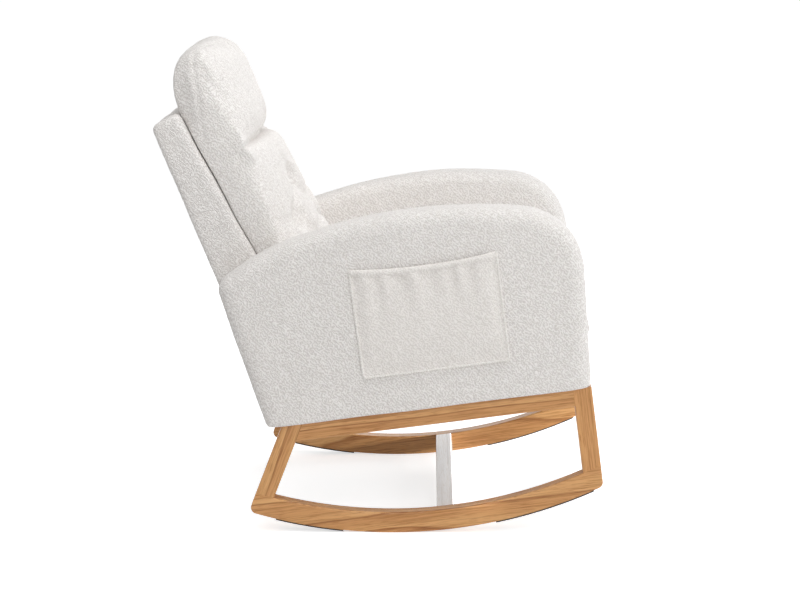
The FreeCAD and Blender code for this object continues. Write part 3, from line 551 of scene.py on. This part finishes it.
def build_outer_back():
    mesh = union(["outer_back"], [], BACK, COVER_GRID, COVER_SMOOTHING)
    local, facing = turned(points_of(mesh), BACK), turned(normals_of(mesh), BACK)
    local[:, 1] += BACK_FULLNESS * np.minimum(facing[:, 1], 0.0)
    set_points(mesh, straightened(local, BACK))
    uneven(mesh, COVER_SWELL, COVER_SWELL_LENGTH, 12)
    nubbed(mesh)
    slab = piece_of("outer_back_cover", mesh, cloth)
    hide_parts("outer_back")


# Inner back: lower cushion and head pillow under one cover, with a crease, tufts and pleats

def islands_of(node, turn):
    """The middle of each separate solid of a CAD node, in a turned frame."""
    bm = bmesh.new()
    bm.from_mesh(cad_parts[node].data)
    bmesh.ops.remove_doubles(bm, verts=bm.verts, dist=1e-6)
    bm.verts.ensure_lookup_table()
    seen, found = set(), []
    for first in bm.verts:
        if first.index in seen:
            continue
        seen.add(first.index)
        waiting, members = [first], []
        while waiting:
            vertex = waiting.pop()
            members.append(vertex.co[:])
            for edge in vertex.link_edges:
                other = edge.other_vert(vertex)
                if other.index not in seen:
                    seen.add(other.index)
                    waiting.append(other)
        local = turned(np.array(members), turn)
        found.append((local.min(0) + local.max(0)) / 2)
    bm.free()
    return found


def segment_distance(points, a, b):
    """Distance of 2-D points from a line between a and b, and how far along it they are, from 0 to 1."""
    a, b = np.array(a), np.array(b)
    along = b - a
    share = np.clip(((points - a) @ along) / (along @ along), 0.0, 1.0)
    return np.linalg.norm(points - a - share[:, None] * along, axis=1), share


head_low, head_high = local_box(BACK, "head_cushion")
lower_low, lower_high = local_box(BACK, "back_cushion")
board_low, board_high = local_box(BACK, "cushion_board")
TUFTS = [(middle[0], middle[2]) for middle in islands_of("tuft_buttons", BACK)]
CREASE = (head_low[2] + lower_high[2]) / 2
TUFT_REACH = 125 * MM
TUFT_DEPTH, TUFT_WIDTH = 7.5 * MM, 20 * MM
PLEAT_DEPTH, PLEAT_WIDTH = 4.0 * MM, 10 * MM
CREASE_DEPTH, CREASE_ABOVE, CREASE_BELOW = 11 * MM, 6 * MM, 8 * MM
BUTTON_RADIUS, BUTTON_HEIGHT, BUTTON_PROUD = 11 * MM, 5 * MM, 1.0 * MM
BACK_HALF = head_high[0]
HEAD_CROWN, HEAD_CROWN_RISE = 6 * MM, 90 * MM
HEAD_REAR_DRAW, HEAD_REAR_REACH = 13 * MM, 45 * MM
HEAD_SEAM_DEPTH, HEAD_SEAM_WIDTH = 1.9 * MM, 3.6 * MM
# Where the inner back's cover is held while it is stuffed: behind, at its foot, at the tufts, at the crease
HELD_BEHIND, HELD_FOOT, HELD_TUFT, HELD_CREASE = -95 * MM, 110 * MM, 16 * MM, 9 * MM
# Half the width of the hollows behind the cushions' fronts
HOLLOW_HALF = 187 * MM
# The seam of the head's side panels, in mm in front of the head's rear face and below its top
HEAD_SEAM = ((6, 200), (20, 165), (38, 119), (50, 85), (64, 47), (72, 22),
             (82, 10), (96, 7), (111, 11), (126, 22), (136, 38), (140, 60))
# How many of these points lie along its rear edge
HEAD_SEAM_CORNER = 6


def pleat_lines():
    """Folds of the cover: between neighbouring tufts, and from the outer tufts to the edges."""
    lines = [(a, b) for i, a in enumerate(TUFTS) for b in TUFTS[i + 1:]
             if a[1] != b[1] and math.dist(a, b) < TUFT_REACH]
    top = max(z for _, z in TUFTS)
    foot = min(z for _, z in TUFTS)
    side = max(x for x, _ in TUFTS)
    for x, z in TUFTS:
        if z > top - 1 * MM:
            lines.append(((x, z), (x * 1.25, CREASE - 12 * MM)))
        if z < foot + 1 * MM:
            lines.append(((x, z), (x * 1.3, z - 90 * MM)))
        if abs(x) > side - 1 * MM:
            lines.append(((x, z), (math.copysign(BACK_HALF - 12 * MM, x), z + 18 * MM)))
    return lines


def seamed(mesh, path, depth, width, fade=0.0):
    """Presses a sewn seam into a cover along even points, with the cloth puffed a little beside it.
    fade is the share of the path over which the seam dies out at each end."""
    tree = KDTree(len(path))
    for i, p in enumerate(path):
        tree.insert(Vector(p), i)
    tree.balance()
    points, normals = points_of(mesh), normals_of(mesh)
    nearest = [tree.find(Vector(p)) for p in points]
    gaps = np.array([found[2] for found in nearest])
    puff = 0.35 * depth * np.exp(-((gaps - 3 * width) / (1.5 * width)) ** 2)
    move = puff - depth * np.exp(-(gaps / width) ** 2)
    if fade:
        share = np.array([found[1] for found in nearest]) / (len(path) - 1)
        move *= eased(np.minimum(share, 1 - share) / fade)
    set_points(mesh, points + normals * move[:, None])


def settled(path, rounds):
    """The path with its small steps ironed out."""
    path = path.copy()
    for _ in range(rounds):
        path[1:-1] = (path[:-2] + 2 * path[1:-1] + path[2:]) / 4
    return path


def head_seams(mesh):
    """The seams round the head's side panels: up the rear edge and over the top to the front."""
    tree = BVHTree.FromPolygons([v.co for v in mesh.vertices], [p.vertices[:] for p in mesh.polygons])
    seams = []
    for side in (-1, 1):
        hits = []
        for depth, drop in resampled([(d, s, 0) for d, s in HEAD_SEAM], 4)[:, :2] * MM:
            start = BACK @ Vector((side, head_high[1] - depth, head_high[2] - drop))
            hit = tree.ray_cast(start, Vector((-side, 0, 0)))[0]
            if hit is not None:
                hits.append(hit[:])
        seams.append(resampled(settled(np.array(hits), 6), 2 * MM))
    return seams


def rounded_head(local):
    """The head's crowned top, and its sides drawn in behind the seams, in the back frame."""
    across = local[:, 0] / BACK_HALF
    crown = eased((local[:, 2] - head_high[2]) / HEAD_CROWN_RISE + 1) * np.cos(across * math.pi / 2)
    rear_depth, rear_drop = np.array(HEAD_SEAM[:HEAD_SEAM_CORNER]).T * MM
    seam = head_high[1] - np.interp(head_high[2] - local[:, 2], rear_drop[::-1], rear_depth[::-1])
    behind = eased((local[:, 1] - seam) / HEAD_REAR_REACH)
    behind = behind * eased((local[:, 2] - head_high[2]) / (60 * MM) + 3)
    local[:, 0] -= HEAD_REAR_DRAW * behind * eased((abs(across) - 0.6) / 0.4) * np.sign(across)
    local[:, 2] += HEAD_CROWN * crown


def hollow(depth, foot, top):
    """The corners of a hollow in front of the board, its foot and top measured from the crease."""
    return [(-HOLLOW_HALF, board_low[1] - depth, CREASE + foot), (HOLLOW_HALF, board_low[1], CREASE + top)]


def build_inner_back():
    in_lower = hollow(72 * MM, -309 * MM, -28 * MM)
    in_head = hollow(100 * MM, 28 * MM, 155 * MM)
    round_board = [board_low - np.array((0, 5.6, 0)) * MM, board_high + np.array((0, 1.2, 0)) * MM]
    in_crease = [(-BACK_HALF + 1.5 * MM, -132 * MM, CREASE - 34 * MM),
                 (BACK_HALF - 1.5 * MM, board_high[1] - 1.5 * MM, CREASE + 34 * MM)]
    fillers = [in_lower, in_head, round_board, in_crease]
    mesh = union(["back_cushion", "head_cushion"], fillers, BACK, 5.5 * MM, 3,
                 sunk=BACK @ Vector((0, 0, -1.5 * MM)))
    local = turned(points_of(mesh), BACK)
    tuft_gap = np.min([np.hypot(local[:, 0] - x, local[:, 2] - z) for x, z in TUFTS], axis=0)
    in_front = local[:, 1] < -120 * MM
    pinned = local[:, 1] > HELD_BEHIND
    pinned |= local[:, 2] < lower_low[2] + HELD_FOOT
    pinned |= in_front & (tuft_gap < HELD_TUFT)
    pinned |= abs(local[:, 2] - CREASE) < HELD_CREASE
    points = points_of(mesh)
    points[~pinned] -= normals_of(mesh)[~pinned] * 1.5 * MM
    set_points(mesh, points)
    inflate(mesh, pinned, 4.0, 22 * MM)
    mesh = smoothed(mesh, 6)
    mesh = subdivided(mesh)
    points, normals = points_of(mesh), normals_of(mesh)
    local, facing = turned(points, BACK), turned(normals, BACK)
    front = np.clip(-facing[:, 1] * 2.0 - 0.3, 0.0, 1.0) * (local[:, 1] < -110 * MM)
    plan = local[:, [0, 2]]
    sink = np.zeros(len(local))
    for a, b in pleat_lines():
        gap, share = segment_distance(plan, a, b)
        sink = np.maximum(sink, PLEAT_DEPTH * np.exp(-(gap / PLEAT_WIDTH) ** 2) * (1 - 0.45 * share))
    for tuft in TUFTS:
        gap = np.linalg.norm(plan - tuft, axis=1)
        sink = np.maximum(sink, TUFT_DEPTH * np.exp(-(gap / TUFT_WIDTH) ** 2))
    over = local[:, 2] - CREASE
    crease_width = np.where(over > 0, CREASE_ABOVE, CREASE_BELOW)
    sink = np.maximum(sink, CREASE_DEPTH * np.exp(-(over / crease_width) ** 2))
    local[:, 1] += sink * front + BACK_FULLNESS * np.maximum(facing[:, 1], 0.0)
    rounded_head(local)
    set_points(mesh, straightened(local, BACK))
    uneven(mesh, 1.0 * MM, 120 * MM, 13)
    for seam in head_seams(mesh):
        seamed(mesh, seam, HEAD_SEAM_DEPTH, HEAD_SEAM_WIDTH, fade=0.12)
    nubbed(mesh)
    inner = piece_of("inner_back_cover", mesh, cloth)
    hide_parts("back_cushion", "head_cushion")
    build_buttons(mesh)


def dome(middle, outward, radius, height, rings=7, sides=28):
    """A cloth-covered button: a flat dome on a short edge."""
    outward = Vector(outward).normalized()
    side = outward.orthogonal().normalized()
    up = outward.cross(side)
    profile = [(radius * 0.9, -0.45 * height)]
    for i in range(rings):
        a = i / rings * math.pi / 2
        profile.append((radius * math.cos(a), height * math.sin(a)))
    vertices = [Vector(middle) + side * (r * math.cos(2 * math.pi * k / sides))
                + up * (r * math.sin(2 * math.pi * k / sides)) + outward * h
                for r, h in profile for k in range(sides)]
    faces = ring_faces(len(profile), sides)
    tip = len(vertices)
    vertices.append(Vector(middle) + outward * height)
    last = (len(profile) - 1) * sides
    faces += [(last + k, last + (k + 1) % sides, tip) for k in range(sides)]
    faces.append(tuple(range(sides))[::-1])
    return vertices, faces


def build_buttons(cover):
    """One button in each tuft, on the finished cover."""
    tree = BVHTree.FromPolygons([v.co for v in cover.vertices], [p.vertices[:] for p in cover.polygons])
    ahead = BACK @ Vector((0, -1, 0))
    vertices, faces = [], []
    for x, z in TUFTS:
        start = BACK @ Vector((x, -0.4, z))
        hit = tree.ray_cast(start, -ahead)[0]
        made, around = dome(hit + ahead * BUTTON_PROUD, ahead, BUTTON_RADIUS, BUTTON_HEIGHT)
        faces += [tuple(i + len(vertices) for i in f) for f in around]
        vertices += made
    buttons = piece_of("button_covers", mesh_of(vertices, faces), button_cloth)
    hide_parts("tuft_buttons")


# Seat: cushion, padded front edge, felt on the springs and the cloth under the seat

SEAT_SEAM_DEPTH, SEAT_SEAM_WIDTH = 2.0 * MM, 3.4 * MM
SHEET_STEP = 10 * MM
DUST_THICKNESS, DUST_SAG = 0.8 * MM, 5 * MM
FELT_THICKNESS = 3.2 * MM


def rim_seams(mesh, low, high):
    """The seams round the top and the bottom of the seat cushion's border."""
    tree = BVHTree.FromPolygons([v.co for v in mesh.vertices], [p.vertices[:] for p in mesh.polygons])
    inset, reach = 30 * MM, 0.3
    middle = (low[2] + high[2]) / 2
    seams = []
    for rise in (1.0, -1.0):
        hits = []
        for a in np.linspace(0, 2 * math.pi, 400, endpoint=False):
            outward = Vector((math.cos(a), math.sin(a), 0.0))
            stretch = min((high[0] - inset) / max(abs(outward.x), 1e-6),
                          ((high[1] - low[1]) / 2 - inset) / max(abs(outward.y), 1e-6))
            foot = Vector((0, (low[1] + high[1]) / 2, middle)) + outward * stretch
            side = Vector((1, 0, 0)) * round(outward.x * stretch / (high[0] - inset))
            side += Vector((0, 1, 0)) * round(outward.y * stretch / ((high[1] - low[1]) / 2 - inset))
            aim = (side.normalized() + Vector((0, 0, 0.75 * rise))).normalized()
            hit = tree.ray_cast(CHAIR @ (foot + aim * reach), CHAIR @ -aim)[0]
            if hit is not None:
                hits.append(hit[:])
        hits.append(hits[0])
        seams.append(resampled(settled(np.array(hits), 3), 2 * MM))
    return seams


def build_seat():
    mesh = union(["seat_cushion"], [], CHAIR, 6 * MM, 3)
    low, high = local_box(CHAIR, "seat_cushion")
    local = turned(points_of(mesh), CHAIR)
    pinned = local[:, 2] < low[2] + 30 * MM
    pinned |= local[:, 1] > high[1] - 60 * MM
    points = points_of(mesh)
    points[~pinned] -= normals_of(mesh)[~pinned] * 4 * MM
    set_points(mesh, points)
    inflate(mesh, pinned, 3.0, 14 * MM)
    mesh = smoothed(mesh, 2)
    mesh = subdivided(mesh)
    uneven(mesh, 1.0 * MM, 140 * MM, 14)
    for seam in rim_seams(mesh, low, high):
        seamed(mesh, seam, SEAT_SEAM_DEPTH, SEAT_SEAM_WIDTH)
    nubbed(mesh)
    seat = piece_of("seat_cover", mesh, cloth)
    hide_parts("seat_cushion")
    mesh = union(["front_apron"], [], CHAIR, 4 * MM, 6)
    nubbed(mesh, wavelength=9 * MM)
    apron = piece_of("apron_cover", mesh, cloth)
    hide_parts("front_apron")


def flat_sheet(turn, low, high, step, thickness, height):
    """A thin closed sheet in a turned frame. height gives its level by place, from 0 to 1 each way."""
    across = max(2, int((high[0] - low[0]) / step))
    along = max(2, int((high[1] - low[1]) / step))
    xs, ys = np.linspace(0, 1, across + 1), np.linspace(0, 1, along + 1)
    grid_x, grid_y = np.meshgrid(xs, ys)
    local = np.stack([low[0] + grid_x * (high[0] - low[0]), low[1] + grid_y * (high[1] - low[1]),
                      height(grid_x, grid_y)], axis=-1).reshape(-1, 3)
    mesh = mesh_of(straightened(local, turn), grid_faces(along + 1, across + 1))
    return with_modifiers(mesh, ("SOLIDIFY", {"thickness": thickness, "offset": 0.0}))


def build_seat_sheets():
    low, high = local_box(CHAIR, "dust_cover")
    level = (low[2] + high[2]) / 2

    def sagging(u, v):
        wrinkles = np.sin(u * 31 + 2 * np.sin(v * 9)) * np.sin(v * 23 + u * 5)
        return level - DUST_SAG * np.sin(math.pi * u) * np.sin(math.pi * v) * (1 + 0.12 * wrinkles)

    mesh = flat_sheet(CHAIR, low, high, SHEET_STEP, DUST_THICKNESS, sagging)
    cover = piece_of("dust_sheet", mesh, dust_cloth)
    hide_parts("dust_cover")
    low, high = local_box(CHAIR, "spring_felt")
    middle = (low[2] + high[2]) / 2

    def bedded(u, v):
        return middle + 0.3 * MM * np.sin(u * 26) * np.sin(v * 40)

    mesh = flat_sheet(CHAIR, low, high, SHEET_STEP, FELT_THICKNESS, bedded)
    pad = piece_of("felt_sheet", mesh, felt)
    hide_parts("spring_felt")


# Side pockets: a gathered panel with a folded hem, sewn to the arm along three edges

# The folds below the mouth: where each lies along it, from 0 to 1, and its height in mm
GATHERS = ((0.10, 2.0), (0.165, -2.2), (0.235, 3.2), (0.345, -2.4), (0.43, 3.8), (0.54, -2.0), (0.635, 2.6),
           (0.685, -1.8), (0.74, 2.8), (0.81, -1.8), (0.87, 2.0))
GATHER_WIDTH, GATHER_HEIGHT, GATHER_FADE = 0.036, 1.9, 66 * MM
HEM = 13 * MM
SEWN_RISE = 26 * MM
CLOTH_GAP = 1.3 * MM
CLOTH_THICKNESS = 1.8 * MM
POCKET_COLUMNS, POCKET_ROWS = 131, 97
STITCH = 5.5 * MM
# The hem's section, in mm: lift off the cloth and drop below the mouth
HEM_SECTION = ((0.2, 15.0), (2.6, 14.2), (3.6, 12.6), (2.8, 10.8), (3.8, 9.0), (4.4, 6.0), (3.8, 2.0),
               (2.0, -0.8), (0.0, -1.6), (-1.2, -0.6), (-1.6, 3.0), (-1.6, 9.0), (-1.0, 12.0), (-0.4, 13.6))


class Pocket:
    """The shape of one pocket, in the chair frame. s runs from its rear edge to its front edge, and t from
    its foot up."""

    def __init__(self, side):
        self.sign = 1.0 if side == "left" else -1.0
        low, high = local_box(CHAIR, "pocket_" + side)
        hem_low, hem_high = local_box(CHAIR, "pocket_hem_" + side)
        self.rear, self.front = high[1], low[1]
        self.foot, self.top = low[2], high[2]
        self.sag = (hem_high[2] - hem_low[2]) - HEM
        arm_low, arm_high = local_box(CHAIR, "arm_pad_" + side)
        self.face = max(abs(arm_low[0]), abs(arm_high[0]))
        self.width = self.rear - self.front

    def mouth(self, s):
        return self.top - self.sag * 4 * s * (1 - s)

    def stand_off(self, s, t):
        """How far the cloth stands off the arm."""
        height = self.mouth(s) - self.foot
        under = (1 - t) * height
        open_side = eased(np.minimum(s, 1 - s) * self.width / SEWN_RISE)
        open_foot = eased(t * height / SEWN_RISE)
        bulge = (5.0 * t + 4.2 * np.sin(math.pi * np.clip(t, 0, 1) ** 0.8)) * MM
        folds = sum(a * MM * np.exp(-((s - p) / GATHER_WIDTH) ** 2) for p, a in GATHERS)
        fading = np.exp(-(under / GATHER_FADE) ** 2) * (0.12 + 0.88 * eased(under / (1.8 * HEM)))
        return np.maximum(0.3 * MM, open_side * (open_foot * bulge + GATHER_HEIGHT * folds * fading))

    def point(self, s, t, lift=0.0, drop=0.0):
        """A point of the cloth, lifted off it outward and dropped below it by so much."""
        s, t = np.asarray(s, float), np.asarray(t, float)
        z = self.foot + t * (self.mouth(s) - self.foot) - drop
        x = self.sign * (self.face + CLOTH_GAP + self.stand_off(s, t) + lift)
        y = self.rear - s * self.width
        return straightened(np.stack(np.broadcast_arrays(x, y, z), axis=-1).reshape(-1, 3), CHAIR)


def build_pocket(side):
    pocket = Pocket(side)
    s, t = np.meshgrid(np.linspace(0, 1, POCKET_COLUMNS), np.linspace(0, 1, POCKET_ROWS))
    faces = grid_faces(POCKET_ROWS, POCKET_COLUMNS, side == "left")
    sheet = mesh_of(pocket.point(s.ravel(), t.ravel()), faces)
    sheet = with_modifiers(sheet, ("SOLIDIFY", {"thickness": CLOTH_THICKNESS, "offset": 0.0}))
    nubbed(sheet, height=0.35 * MM)
    panel = piece_of("pocket_panel_" + side, sheet, pocket_cloth)
    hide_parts("pocket_" + side)
    hem = build_hem(pocket, side)
    down = [(0.0, v) for v in np.linspace(1.0, 0.03, 90)]
    across = [(u, 0.0) for u in np.linspace(0.012, 0.988, 120)]
    up = [(1.0, v) for v in np.linspace(0.03, 1.0, 90)]
    outline = np.array(down + across + up)
    trim("pocket_piping_" + side, pocket, outline, 2.5 * MM, 0.9 * MM)
    inner = np.array([(1 - 9 * MM / pocket.width, v) for v in np.linspace(0.06, 0.96, 150)])
    trim("pocket_seam_" + side, pocket, inner, 1.0 * MM, 0.9 * MM)


def trim(name, pocket, outline, radius, lift):
    """A sewn cord or thread line along the pocket, given by its places on the cloth."""
    path = resampled(pocket.point(outline[:, 0], outline[:, 1], lift), 1.3 * MM)
    mesh = tube(path, radius, 10, beads=0.18, bead_length=5.2 * MM)
    return piece_of(name, mesh, welt_cloth)


def build_hem(pocket, side):
    """The folded band over the pocket's mouth."""
    columns = POCKET_COLUMNS
    s = np.linspace(0.0, 1.0, columns)
    stitch = 0.35 * np.sin(s * pocket.width / STITCH * 2 * math.pi)
    rows = []
    for lift, drop in HEM_SECTION:
        outer = lift > 0 and drop > 9
        rows.append(pocket.point(s, np.ones(columns), (lift - (stitch + 0.35) * outer) * MM, drop * MM))
    count = len(HEM_SECTION)
    vertices = np.vstack(rows)
    faces = []
    for r in range(count):
        start, after = r * columns, (r + 1) % count * columns
        faces += [(start + i, start + i + 1, after + i + 1, after + i) for i in range(columns - 1)]
    faces.append(tuple(r * columns for r in range(count)))
    faces.append(tuple(r * columns + columns - 1 for r in range(count))[::-1])
    if side == "right":
        faces = [f[::-1] for f in faces]
    hem = piece_of("pocket_band_" + side, mesh_of(vertices, faces), pocket_cloth)
    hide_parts("pocket_hem_" + side)
    return hem


# Stage, light and camera

SKY_FRONT, SKY_REAR = 0.55, 0.34
FLOOR_GLOW = 0.62


def build_stage():
    """A white floor that keeps the shadow, and a white studio, brighter at the front, round the chair."""
    size = 30.0
    floor = bpy.data.objects.new("floor", mesh_of(
        [(-size, -size, 0), (size, -size, 0), (size, size, 0), (-size, size, 0)], [(0, 1, 2, 3)]))
    bpy.context.scene.collection.objects.link(floor)
    s = Shader("floor_white")
    s.surface.inputs["Base Color"].default_value = (0.9, 0.9, 0.9, 1)
    s.surface.inputs["Roughness"].default_value = 0.9
    s.surface.inputs["Specular IOR Level"].default_value = 0.0
    path = s.add("ShaderNodeLightPath")
    seen = s.math("MAXIMUM", s.math("MAXIMUM", path.outputs["Is Camera Ray"], path.outputs["Is Glossy Ray"]),
                  path.outputs["Is Transmission Ray"])
    s.surface.inputs["Emission Color"].default_value = (1, 1, 1, 1)
    s.link(s.math("MULTIPLY", seen, FLOOR_GLOW), s.surface.inputs["Emission Strength"])
    floor.data.materials.append(s.material)

    world = bpy.data.worlds.new("studio")
    bpy.context.scene.world = world
    world.use_nodes = True
    tree = world.node_tree
    background = tree.nodes["Background"]
    background.inputs["Color"].default_value = (1, 1, 1, 1)
    rays = tree.nodes.new("ShaderNodeLightPath")
    either = tree.nodes.new("ShaderNodeMath")
    either.operation = "MAXIMUM"
    tree.links.new(rays.outputs["Is Camera Ray"], either.inputs[0])
    tree.links.new(rays.outputs["Is Glossy Ray"], either.inputs[1])
    all_seen = tree.nodes.new("ShaderNodeMath")
    all_seen.operation = "MAXIMUM"
    tree.links.new(either.outputs[0], all_seen.inputs[0])
    tree.links.new(rays.outputs["Is Transmission Ray"], all_seen.inputs[1])
    place = tree.nodes.new("ShaderNodeTexCoord")
    parts = tree.nodes.new("ShaderNodeSeparateXYZ")
    tree.links.new(place.outputs["Generated"], parts.inputs["Vector"])
    sky = tree.nodes.new("ShaderNodeMapRange")
    sky.inputs["From Min"].default_value = -1.0
    sky.inputs["To Min"].default_value = SKY_FRONT
    sky.inputs["To Max"].default_value = SKY_REAR
    tree.links.new(parts.outputs["Y"], sky.inputs["Value"])
    strength = tree.nodes.new("ShaderNodeMath")
    strength.operation = "MAXIMUM"
    tree.links.new(sky.outputs["Result"], strength.inputs[0])
    tree.links.new(all_seen.outputs[0], strength.inputs[1])
    tree.links.new(strength.outputs[0], background.inputs["Strength"])


def lamp(kind, name, place, target, power, **values):
    """A lamp that faces a target. Power is in watts."""
    light = bpy.data.lights.new(name, kind)
    light.energy = power
    for key, value in values.items():
        setattr(light, key, value)
    obj = bpy.data.objects.new(name, light)
    obj.location = place
    obj.rotation_mode = "QUATERNION"
    obj.rotation_quaternion = (Vector(target) - Vector(place)).to_track_quat("-Z", "Y")
    bpy.context.scene.collection.objects.link(obj)


def build_camera():
    camera = bpy.data.cameras.new("camera")
    camera.lens = 96.75
    camera.sensor_width = 36.0
    obj = bpy.data.objects.new("camera", camera)
    bpy.context.scene.collection.objects.link(obj)
    right, up, back = (0.01373, -0.99991, 0.0), (0.17758, 0.00244, 0.98410), (-0.98401, -0.01351, 0.17760)
    place = (-4.530, -0.102, 1.235)
    obj.matrix_world = Matrix([[right[i], up[i], back[i], place[i]] for i in range(3)] + [[0, 0, 0, 1]])
    bpy.context.scene.camera = obj


build_arms()
build_outer_back()
build_inner_back()
build_seat()
build_seat_sheets()
for side in ("left", "right"):
    build_pocket(side)
build_stage()
lamp("AREA", "key", (-0.1, -3.2, 1.1), (0, 0, 0.4), 28, size=1.6, color=(0.96, 0.98, 1.0))
lamp("AREA", "far", (3.0, -0.8, 1.2), (0, -0.1, 0.1), 30, size=1.2)
lamp("AREA", "top", (-0.8, 0.2, 3.2), (0, 0, 0.4), 31, size=1.8)
lamp("AREA", "near", (-2.3, -0.7, 1.7), (-0.2, 0, 0.3), 11.5, size=0.7)
lamp("SPOT", "low", (-0.26, -2.0, 0.32), (0.28, -0.3, 0.08), 140,
     spot_size=math.radians(12), spot_blend=0.6, shadow_soft_size=0.08)
lamp("SPOT", "stretcher", (-2.0, -0.25, 0.6), (-0.13, -0.2, 0.06), 200,
     spot_size=math.radians(4), spot_blend=0.8, shadow_soft_size=0.03)
build_camera()
bpy.context.scene.view_settings.view_transform = "Standard"
